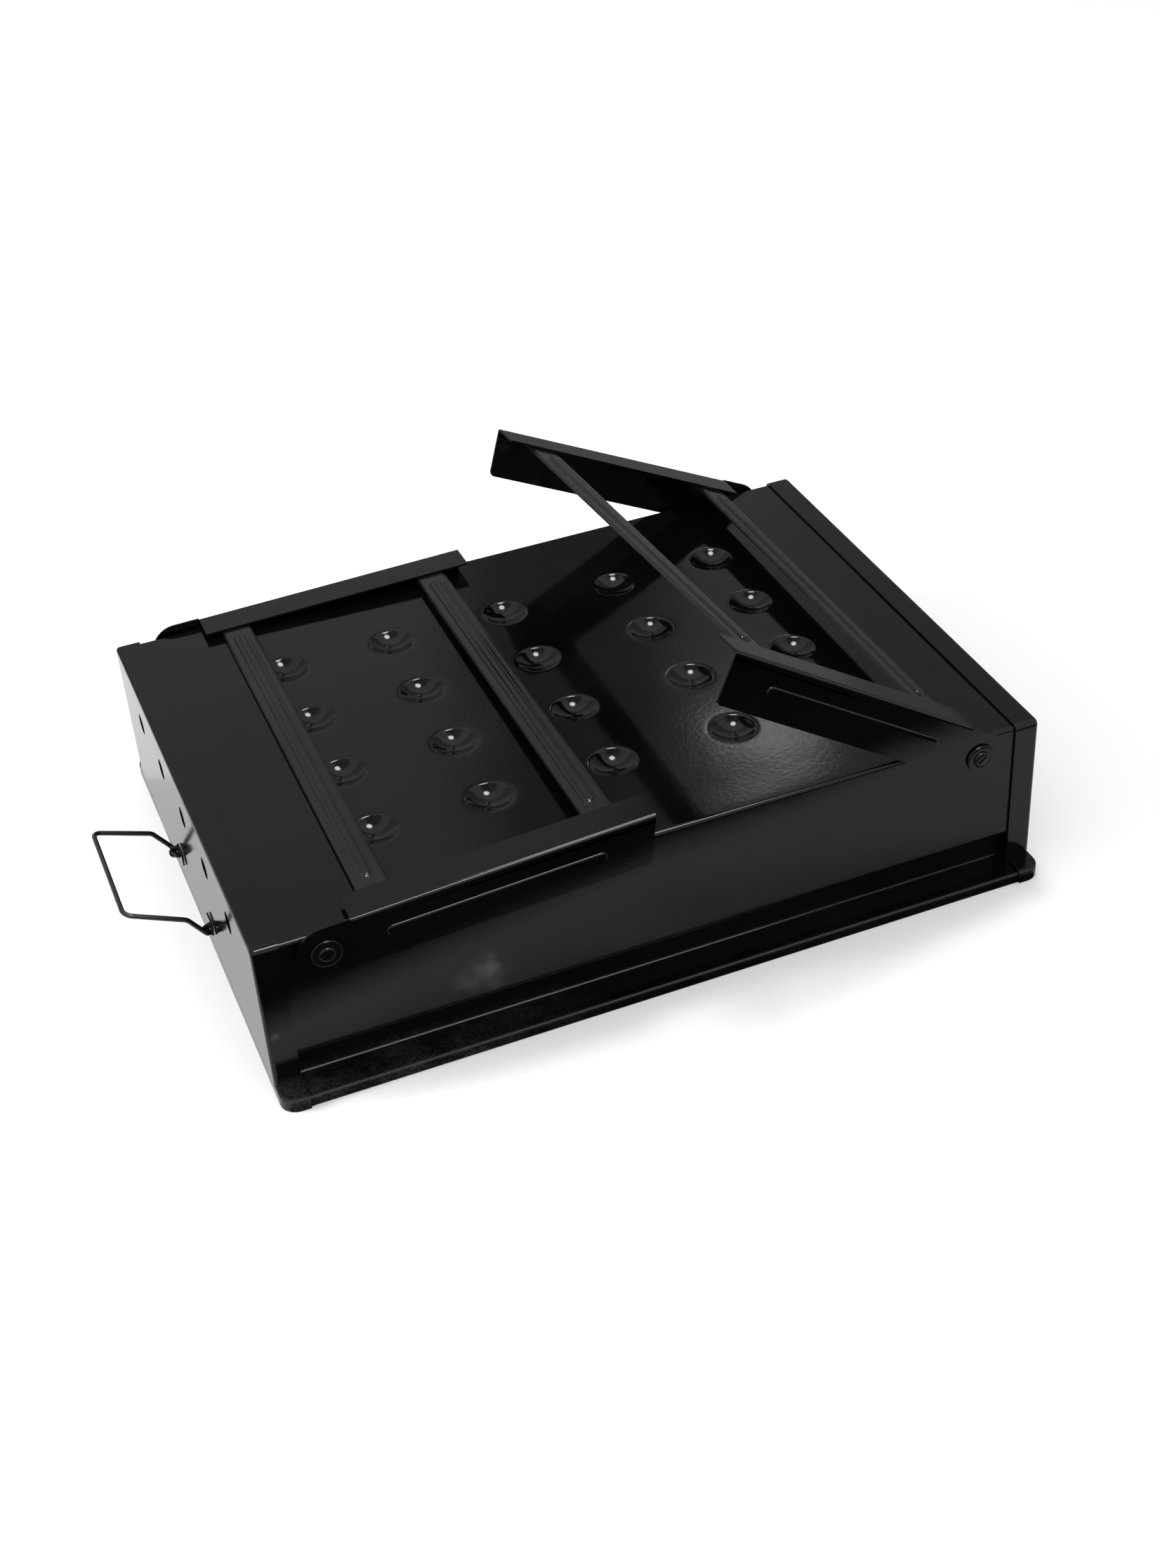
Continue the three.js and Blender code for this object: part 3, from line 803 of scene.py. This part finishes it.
# ---------------------------------------------------------------- legs
def place_leg_piece(obj, end):
    """From a leg's own frame, pivot at the origin and foot at +X, to the tray, slightly twisted."""
    pivot = Vector(JOINTS[end + "_leg_hinge"]["pos_m"])
    turn = Matrix.Rotation(math.pi if end == "right" else 0, 4, "Z")
    low, high = ("back", "front") if end == "right" else ("front", "back")
    tilts = ARM_TILT[end]
    for vertex in obj.data.vertices:
        share = (vertex.co.y / MM + ARM_Y) / (2 * ARM_Y)
        tilt = math.radians(tilts[low] + (tilts[high] - tilts[low]) * share)
        vertex.co = pivot + turn.to_3x3() @ Matrix.Rotation(-tilt, 3, "Y") @ vertex.co
    obj.data.update()


def arm_side():
    """Outline of an arm's upright web: round at the pivot, slanted at the foot."""
    slope = math.tan(FOOT_SLANT)
    points = arc((0, 0), ARM_HALF, 270, 90, 32)
    points += [Vector((FLANGE_START, ARM_HALF)), Vector((FLANGE_START, WEB_TOP))]
    points += [Vector((ARM_LENGTH - FOOT_CORNER * slope, WEB_TOP))]
    corner = Vector((ARM_LENGTH - 2 * ARM_HALF * slope, -ARM_HALF))
    up = Vector((slope, 1)).normalized()
    for step in range(FOOT_STEPS + 1):
        share = step / FOOT_STEPS
        first = corner + up * FOOT_CORNER * (1 - share)
        points.append(first.lerp(corner + Vector((-FOOT_CORNER * share, 0)), share))
    return clean_ring(points)


def arm_bead(outer, side):
    """A bmesh of a round-ended bead that stands out of an arm's side, its lower edge upright."""
    rings = []
    for reach, share in BEAD_PROFILE:
        low, half = (reach - BEAD_HALF) / 2, (reach + BEAD_HALF) / 2
        ring = arc((BEAD_END - BEAD_HALF, low), half, -90, 90, 12)
        ring += arc((BEAD_START + BEAD_HALF, low), half, 90, 270, 12)
        rings.append([(point.x, side * (outer + share * BEAD_HEIGHT), point.y) for point in ring])
    return loft(rings)


def leg_arm(end, place, side):
    """An arm of L-section with its bead and pivot hole, side being +1 or -1 in the leg's own frame."""
    outer = ARM_Y + ARM_SHEET
    half = ARM_SHEET / 2
    name = end + "_leg_arm_" + place
    web = prism(arm_side(), lambda u, v, end_share: (u, side * (ARM_Y + end_share * ARM_SHEET), v))
    arm = new_object(name + "_sheet", web)
    corners = [
        (outer - half, ARM_HALF - ARM_BEND - FLANGE_OVERLAP),
        (outer - half, ARM_HALF - half),
        (outer - FLANGE_WIDTH, ARM_HALF - half),
    ]
    section = sheet_outline(folded(corners, [ARM_BEND - half]), ARM_SHEET)
    flange = prism(section, lambda u, v, end_share: (FLANGE_START + end_share * FLANGE_UNCUT, side * u, v))
    flange = new_object("flange", flange)
    beyond_foot = new_object("beyond_foot", loft(box_rings(FOOT_CUT_LOW, FOOT_CUT_HIGH)))
    foot = Matrix.Translation((ARM_LENGTH * MM, 0, ARM_HALF * MM))
    beyond_foot.data.transform(foot @ Matrix.Rotation(FOOT_SLANT, 4, "Y"))
    combine(flange, beyond_foot, "DIFFERENCE")
    combine(arm, flange, "UNION")
    combine(arm, new_object("bead", arm_bead(outer, side)), "UNION")
    hole = cylinder(BORE_RADIUS, (0, side * (ARM_Y - PAST), 0), (0, side * (outer + PAST), 0))
    combine(arm, new_object("hole", hole), "DIFFERENCE")
    bevel(arm, ARM_EDGE)
    place_leg_piece(arm, end)
    finish_piece(arm, name, end + "_leg", ENAMEL)


def crossbar_lift(u, y, rib_end):
    """How far a crossbar's top stands up: a rib that dies out, two grooves along it, sunk welds."""
    from_end = rib_end - abs(y)
    across = abs(u - RIB_MIDDLE)
    if from_end < 0:
        across = math.hypot(across, from_end)
    share = min(1.0, max(0.0, (RIB_HALF - across) / RIB_FLANK))
    rib = RIB_HEIGHT * (share * share * (3 - 2 * share))
    along = min(1.0, max(0.0, from_end / GROOVE_FADE))
    groove = along * sum(math.exp(-((u - middle) / GROOVE_WIDTH) ** 2) for middle in GROOVES)
    weld = 0.0
    for spot in WELDS:
        away = math.hypot(u - spot, abs(y) - (rib_end + WELD_FROM_RIB))
        weld -= WELD_DEPTH * max(0.0, 1 - (away / WELD_RADIUS) ** 2)
    return rib - GROOVE_DEPTH * groove + weld


def crossbar(end, place):
    """A folded strip with a pressed rib that dies out before its flat, welded ends."""
    top = ARM_HALF - ARM_SHEET - GAP
    edge = CROSSBAR_WIDTH / 2 - SHEET / 2
    level = top - SHEET / 2
    low = top - CROSSBAR_LIP
    outline = folded([(-edge, low), (-edge, level), (edge, level), (edge, low)], [CROSSBAR_FOLD] * 2, 6)
    half = len(outline) // 2
    flat = split(outline[half - 1].x, outline[half].x, CROSSBAR_FLAT_STEPS)[1:-1]
    line = outline[:half] + [Vector((u, outline[half].y)) for u in flat] + outline[half:]
    bar_end = ARM_Y - CROSSBAR_END_GAP
    rib_end = ARM_Y + ARM_SHEET - FLANGE_WIDTH - RIB_END_GAP
    outside, within = rib_end + RIB_SAMPLES_OUT, rib_end - RIB_SAMPLES_IN
    stretches = (
        split(-bar_end, -outside, 12),
        split(-outside, -within, 16),
        split(-within, within, 24),
        split(within, outside, 16),
        split(outside, bar_end, 12),
    )
    rings = []
    for y in merge_samples(*stretches):
        ring = []
        for point in line:
            on_top = point.y > top - TOP_BAND
            lift = crossbar_lift(point.x, y, rib_end) if on_top else 0
            ring.append((CROSSBARS[place] + point.x, y, point.y + lift))
        rings.append(ring)
    name = end + "_leg_crossbar_" + place
    obj = new_object(name + "_sheet", loft(rings, closed=False))
    thicken(obj)
    place_leg_piece(obj, end)
    finish_piece(obj, name, end + "_leg", STRAP, 45)


for end in ENDS:
    for place, side in SIDES.items():
        leg_arm(end, place, side if end == "left" else -side)
    for place in CROSSBARS:
        crossbar(end, place)


# ---------------------------------------------------------------- pivots
def lathe_y(profile, steps=48):
    """A closed solid about Y from (radius, y) points that start and end on the axis."""
    bm = bmesh.new()
    first = bm.verts.new((0, profile[0][1], 0))
    last = bm.verts.new((0, profile[-1][1], 0))
    angles = [math.tau * index / steps for index in range(steps)]
    turns = [(math.cos(angle), math.sin(angle)) for angle in angles]
    rows = []
    for radius, y in profile[1:-1]:
        rows.append([bm.verts.new((radius * x, y, radius * z)) for x, z in turns])
    for low, high in zip(rows, rows[1:]):
        for index in range(steps):
            after = (index + 1) % steps
            bm.faces.new((low[index], low[after], high[after], high[index]))
    for index in range(steps):
        after = (index + 1) % steps
        bm.faces.new((first, rows[0][after], rows[0][index]))
        bm.faces.new((last, rows[-1][index], rows[-1][after]))
    return bm


def along_y(name, radius, start, stop, sides):
    """A bar about the Y axis."""
    return new_object(name, cylinder(radius, (0, start, 0), (0, stop, 0), sides))


def pivot_screw(name):
    """A shank with a stepped, slotted head, whose outer ring and button shine apart."""
    tip = WALL_Y - SCREW_TIP
    head = ARM_Y + ARM_SHEET + GAP
    profile = [(0, tip), (SCREW_RADIUS - SCREW_CHAMFER, tip), (SCREW_RADIUS, tip + SCREW_CHAMFER)]
    profile += [(SCREW_RADIUS, head)] + [(radius, head + out) for radius, out in HEAD_PROFILE]
    screw = new_object(name, lathe_y(profile))
    low = (-SLOT_HALF_LENGTH, head + SLOT_FLOOR, -SLOT_HALF_WIDTH)
    high = (SLOT_HALF_LENGTH, head + SLOT_TOP, SLOT_HALF_WIDTH)
    slot = new_object("slot", loft(box_rings(low, high)))
    slot.data.transform(Matrix.Rotation(SLOT_ANGLE, 4, "Y"))
    combine(screw, slot, "DIFFERENCE")
    return screw


def pivot_washer(name):
    """A flat ring between the arm and the wall."""
    inner = WALL_Y + GAP
    washer = along_y(name, WASHER_RADIUS, inner, inner + WASHER_THICKNESS, 64)
    combine(washer, along_y("bore", BORE_RADIUS, WALL_Y - PAST, WALL_Y + PAST, 32), "DIFFERENCE")
    bevel(washer, SMALL_EDGE)
    return washer


def pivot_nut(name):
    """A chamfered hexagon inside the wall."""
    outer = WALL_Y - SHEET - GAP
    inner = outer - NUT_HEIGHT
    nut = along_y(name, NUT_HALF_WIDTH / math.cos(math.pi / 6), inner, outer, 6)
    small, wide = NUT_CHAMFER_RADII
    profile = [(0, inner), (small, inner), (wide, inner + NUT_CHAMFER), (wide, outer), (0, outer)]
    combine(nut, new_object("chamfer", lathe_y(profile)), "INTERSECT")
    combine(nut, along_y("bore", BORE_RADIUS, outer - NUT_BORE, outer + PAST, 32), "DIFFERENCE")
    bevel(nut, NUT_EDGE)
    return nut


PIVOT_PIECES = {
    "pivot_screw_": (pivot_screw, "_head", SCREW),
    "pivot_washer_": (pivot_washer, "_disc", ZINC),
    "pivot_nut_": (pivot_nut, "_hex", ZINC),
}


def pivot(end, place, side):
    """Screw, washer and nut of one leg arm, drawn about the Y axis and moved to the hinge."""
    turn = Matrix.Rotation(0 if side > 0 else math.pi, 4, "Z")
    move = Matrix.Translation(Vector(JOINTS[end + "_leg_hinge"]["pos_m"])) @ turn
    for kind, (make, tail, mat) in PIVOT_PIECES.items():
        node = kind + end + "_" + place
        obj = make(node + tail)
        obj.data.transform(move)
        finish_piece(obj, node, "tray", mat)


for end in ENDS:
    for place, side in SIDES.items():
        pivot(end, place, side)


# ---------------------------------------------------------------- handles
def rounded_path(points, radii, steps=8):
    """A path through corners in space, each rounded by its own radius."""
    out = [points[0]]
    for before, at, after, radius in zip(points, points[1:], points[2:], radii):
        come, go = (at - before).normalized(), (after - at).normalized()
        turn = come.angle(go)
        start = at - come * (radius * math.tan(turn / 2))
        centre = at + (go - come).normalized() * (radius / math.cos(turn / 2))
        axis = come.cross(go).normalized()
        for step in range(steps + 1):
            out.append(centre + Matrix.Rotation(turn * step / steps, 3, axis) @ (start - centre))
    out.append(points[-1])
    return out


def tube(path, radius, sides=20, cap=0.5):
    """A closed round bar along a path, its ends slightly rounded."""
    tangents = []
    for index in range(len(path)):
        before, after = path[max(index - 1, 0)], path[min(index + 1, len(path) - 1)]
        tangents.append((after - before).normalized())
    up = tangents[0].orthogonal().normalized()
    rings = []
    for index, (point, tangent) in enumerate(zip(path, tangents)):
        up = (up - tangent * up.dot(tangent)).normalized()
        side = tangent.cross(up)
        places = [(point, radius)]
        if index == 0:
            places = [(point, radius - cap), (point + tangent * cap, radius)]
        elif index == len(path) - 1:
            places = [(point - tangent * cap, radius), (point, radius - cap)]
        rings += [circle(at, up, side, size, sides) for at, size in places]
    return loft(rings)


def mirrored(point):
    """The same point on the other side of the tray."""
    return Vector((point.x, -point.y, point.z))


def handle(end):
    """A bent wire loop whose two ends run through the lugs."""
    corners = [Vector((CAP_X + out, half, z)) for out, half, z in HANDLE_CORNERS]
    first = corners[0]
    stub = Vector((first.x, first.y - HANDLE_STUB, first.z))
    points = [mirrored(stub), *map(mirrored, corners), *corners[::-1], stub]
    wire = new_object("handle_" + end + "_wire", tube(rounded_path(points, HANDLE_BENDS), WIRE_RADIUS))
    hinge = Vector((first.x, 0, first.z)) * MM
    droop = Matrix.Rotation(HANDLE_DROOP[end], 4, "Y")
    wire.data.transform(Matrix.Translation(hinge) @ droop @ Matrix.Translation(-hinge))
    if end == "left":
        half_turn(wire)
    finish_piece(wire, "handle_" + end, end + "_handle", WIRE, 40)


def handle_lug(end, place, side):
    """A small folded ear with a round nose, side being +1 or -1 for the end at +X."""
    node = "handle_lug_" + end + "_" + place
    wall = CAP_X + GAP
    x, z = CAP_X + HANDLE_CORNERS[0][0], HANDLE_CORNERS[0][2]
    nose = arc((x, z), LUG_NOSE, -LUG_NOSE_ANGLE, LUG_NOSE_ANGLE, 12)
    outline = [Vector((wall, z - LUG_HALF)), *nose, Vector((wall, z + LUG_HALF))]
    ear = prism(outline, lambda u, v, end_share: (u, side * (LUG_Y - LUG_SHEET * end_share), v))
    lug = new_object(node + "_ear", ear)
    low, high = sorted((side * LUG_Y, side * (LUG_Y - LUG_FOOT)))
    foot = box_rings((wall, low, z - LUG_HALF), (wall + LUG_FOOT_SHEET, high, z + LUG_HALF))
    combine(lug, new_object("foot", loft(foot)), "UNION")
    inner, outer = LUG_HOLE
    hole = cylinder(WIRE_RADIUS + GAP, (x, side * inner, z), (x, side * outer, z), 24)
    combine(lug, new_object("hole", hole), "DIFFERENCE")
    bevel(lug, SMALL_EDGE)
    if end == "left":
        half_turn(lug)
    finish_piece(lug, node, "tray", ENAMEL)


for end in ENDS:
    handle(end)
    for place, side in SIDES.items():
        handle_lug(end, place, side if end == "right" else -side)


# ---------------------------------------------------------------- stage, light and camera
# In metres. The cards lie just above the floor, the broad one that tones it down lowest.
FLOOR_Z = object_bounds()[0][2]
FLOOR_SIZE = 12.0
FLOOR_TONE = 0.89
CARD_Z = FLOOR_Z + 0.0005
TONE_CARD_Z = FLOOR_Z + 0.0002


def stage_object(name, bm, tone, roughness, specular):
    """A plain grey studio surface, which isn't part of the object, with its graph and shader node."""
    mesh = bpy.data.meshes.new(name)
    bm.to_mesh(mesh)
    bm.free()
    obj = bpy.data.objects.new(name, mesh)
    bpy.context.scene.collection.objects.link(obj)
    mat, graph, shader = new_material(name)
    shader.inputs["Base Color"].default_value = (tone, tone, tone, 1)
    shader.inputs["Roughness"].default_value = roughness
    shader.inputs["Specular IOR Level"].default_value = specular
    mesh.materials.append(mat)
    return obj, graph, shader


def floor():
    bm = bmesh.new()
    bmesh.ops.create_grid(bm, x_segments=2, y_segments=2, size=FLOOR_SIZE / 2)
    obj = stage_object("floor", bm, FLOOR_TONE, 0.9, 0.1)[0]
    obj.location.z = FLOOR_Z


def dark_card(name, corners, tone, soft=None):
    """A card that only shiny surfaces see, so it shows only in reflections, as a studio flag does; the one
    by the rim is painted shade.

    soft is two distances in from the card's first edge, and the tones that it fades between there.
    """
    bm = bmesh.new()
    bm.faces.new([bm.verts.new(corner) for corner in corners])
    card, graph, shader = stage_object(name, bm, tone, 1.0, 0.0)
    card.visible_camera = False
    card.visible_diffuse = False
    card.visible_shadow = False
    if not soft:
        return
    start, end = Vector(corners[0]), Vector(corners[1])
    along = (end - start).normalized()
    inwards = (along.y, -along.x, 0)
    across = graph.vectors("DOT_PRODUCT", graph.place("Object"), inwards, output="Value")
    edge = start.x * along.y - start.y * along.x
    fade = graph.soft_ramp(across, (edge + soft[0], edge + soft[1]), soft[2:])
    graph.feed(shader.inputs["Base Color"], fade)


def lying(z, *corners):
    """Corners of a card that lies level."""
    return [(x, y, z) for x, y in corners]


floor()
dark_card("floor_tone", lying(TONE_CARD_Z, (-0.7, -0.7), (0.7, -0.7), (0.7, 0.5), (-0.7, 0.5)), 0.68)
# A dark patch on the floor in front, fading in from its edge nearest the tray and seen only in reflections:
# it darkens what the near wall and the leg arms reflect.
dark_card("dark_floor_front", lying(CARD_Z, (-0.60, -0.118), (0.60, -0.324), (1.3, -1.3), (-1.2, -1.3)), 0.0,
          soft=(0.0, 0.034, 0.68, 0.004))
# Painted shade: dark at the rim and fading outwards, this card is the tray's contact shadow on the floor,
# which the hem and low walls reflect.
RIM_SHADOW_CARD = ((-0.2145, -0.1625), (0.2145, -0.1625), (0.2145, -0.195), (-0.2145, -0.195))
dark_card("painted_rim_shadow", lying(CARD_Z, *RIM_SHADOW_CARD), 0.0, soft=(0.008, 0.0135, 0.01, 0.68))
dark_card("flag_back", [(-0.6, 0.5, 0.0), (2.4, 0.5, 0.0), (2.4, 0.5, 0.25), (-0.6, 0.5, 0.25)], 0.2)
dark_card("flag_right", lying(CARD_Z, (0.34, -0.1), (2.4, -0.1), (2.4, 0.5), (0.34, 0.5)), 0.1)

# Brightness by direction: edges are along Z (up), along Y (away) or round in radians from +Y.
ROOF = 1.2
ROOF_EDGE = (0.64, 0.82)
ZENITH_EDGE = (0.94, 0.98)
ZENITH_SHARE = 0.1
FRONT_EDGE = (0.35, -0.2)
BEHIND = (0.2, 0.58)
DIM_AZIMUTH = 0.345
DIM_EDGE = (0.03, 0.09)
RIGHT_EDGE = (0.38, 0.50)
RIGHT_SHARE = 0.72
GLOW = 7.5
GLOW_AT = (0.452, 0.580)
GLOW_SIZE = (0.042, 0.010)


def studio_world():
    """White room: bright in front and above but for its zenith, dim low behind, with one soft glow."""
    world = bpy.data.worlds.new("studio")
    bpy.context.scene.world = world
    world.use_nodes = True
    graph = Graph(world.node_tree)
    axes = graph.axes(graph.place("Generated"))
    zenith = graph.soft_ramp(axes["Z"], ZENITH_EDGE, (1.0, ZENITH_SHARE))
    overhead = graph.maths("MULTIPLY", graph.soft_ramp(axes["Z"], ROOF_EDGE, (0.0, ROOF)), zenith)
    front = graph.maths("MULTIPLY", graph.soft_ramp(axes["Y"], FRONT_EDGE, (0.0, ROOF)), zenith)
    azimuth = graph.maths("ARCTAN2", axes["X"], axes["Y"])
    off = graph.maths("ABSOLUTE", graph.maths("SUBTRACT", azimuth, DIM_AZIMUTH))
    right = graph.soft_ramp(azimuth, RIGHT_EDGE, (1.0, RIGHT_SHARE))
    behind = graph.maths("MULTIPLY", graph.soft_ramp(off, DIM_EDGE, BEHIND), right)
    room = graph.maths("MAXIMUM", graph.maths("MAXIMUM", overhead, front), behind)
    aside = graph.maths("DIVIDE", graph.maths("SUBTRACT", azimuth, GLOW_AT[0]), GLOW_SIZE[0])
    above = graph.maths("DIVIDE", graph.maths("SUBTRACT", axes["Z"], GLOW_AT[1]), GLOW_SIZE[1])
    away = graph.maths("ADD", graph.maths("MULTIPLY", aside, aside), graph.maths("MULTIPLY", above, above))
    glow = graph.soft_ramp(away, (1.0, 0.0), (0.0, GLOW))
    background = graph.nodes["Background"]
    background.inputs["Color"].default_value = (1, 1, 1, 1)
    graph.feed(background.inputs["Strength"], graph.maths("ADD", room, glow))


def area_light(name, place, target, power, size, size_y=None):
    """A round light, or a rectangular one where size_y is given, aimed at a point."""
    data = bpy.data.lights.new(name, "AREA")
    data.energy = power
    data.size = size
    data.shape = "DISK"
    if size_y:
        data.shape = "RECTANGLE"
        data.size_y = size_y
    obj = bpy.data.objects.new(name, data)
    obj.location = place
    obj.rotation_euler = (Vector(target) - Vector(place)).to_track_quat("-Z", "Y").to_euler()
    bpy.context.scene.collection.objects.link(obj)
    return obj


studio_world()
area_light("key", (0.25, 0.32, 1.6), (0, 0, 0), 7, 0.32)
left_box = area_light("left_box", (-1.6, 0.3, 0.9), (0, 0, 0), 30, 1.0)
left_box.visible_glossy = False
front_strip = area_light("front_strip", (0.20, -0.68, 1.42), (-0.1, 0, 0.05), 19, 0.75, 0.4)
front_strip.visible_diffuse = False

scene = bpy.context.scene
scene.view_settings.view_transform = "Standard"
scene.view_settings.look = "None"

camera_data = bpy.data.cameras.new("camera")
camera_data.sensor_fit = "AUTO"
camera_data.sensor_width = 36.0
camera_data.lens = 50.2
camera = bpy.data.objects.new("camera", camera_data)
camera.location = (-0.3292, -0.9474, 0.7653)
camera.rotation_euler = tuple(math.radians(angle) for angle in (53.459, 3.174, -22.04))
scene.collection.objects.link(camera)
scene.camera = camera

bpy.context.view_layer.update()
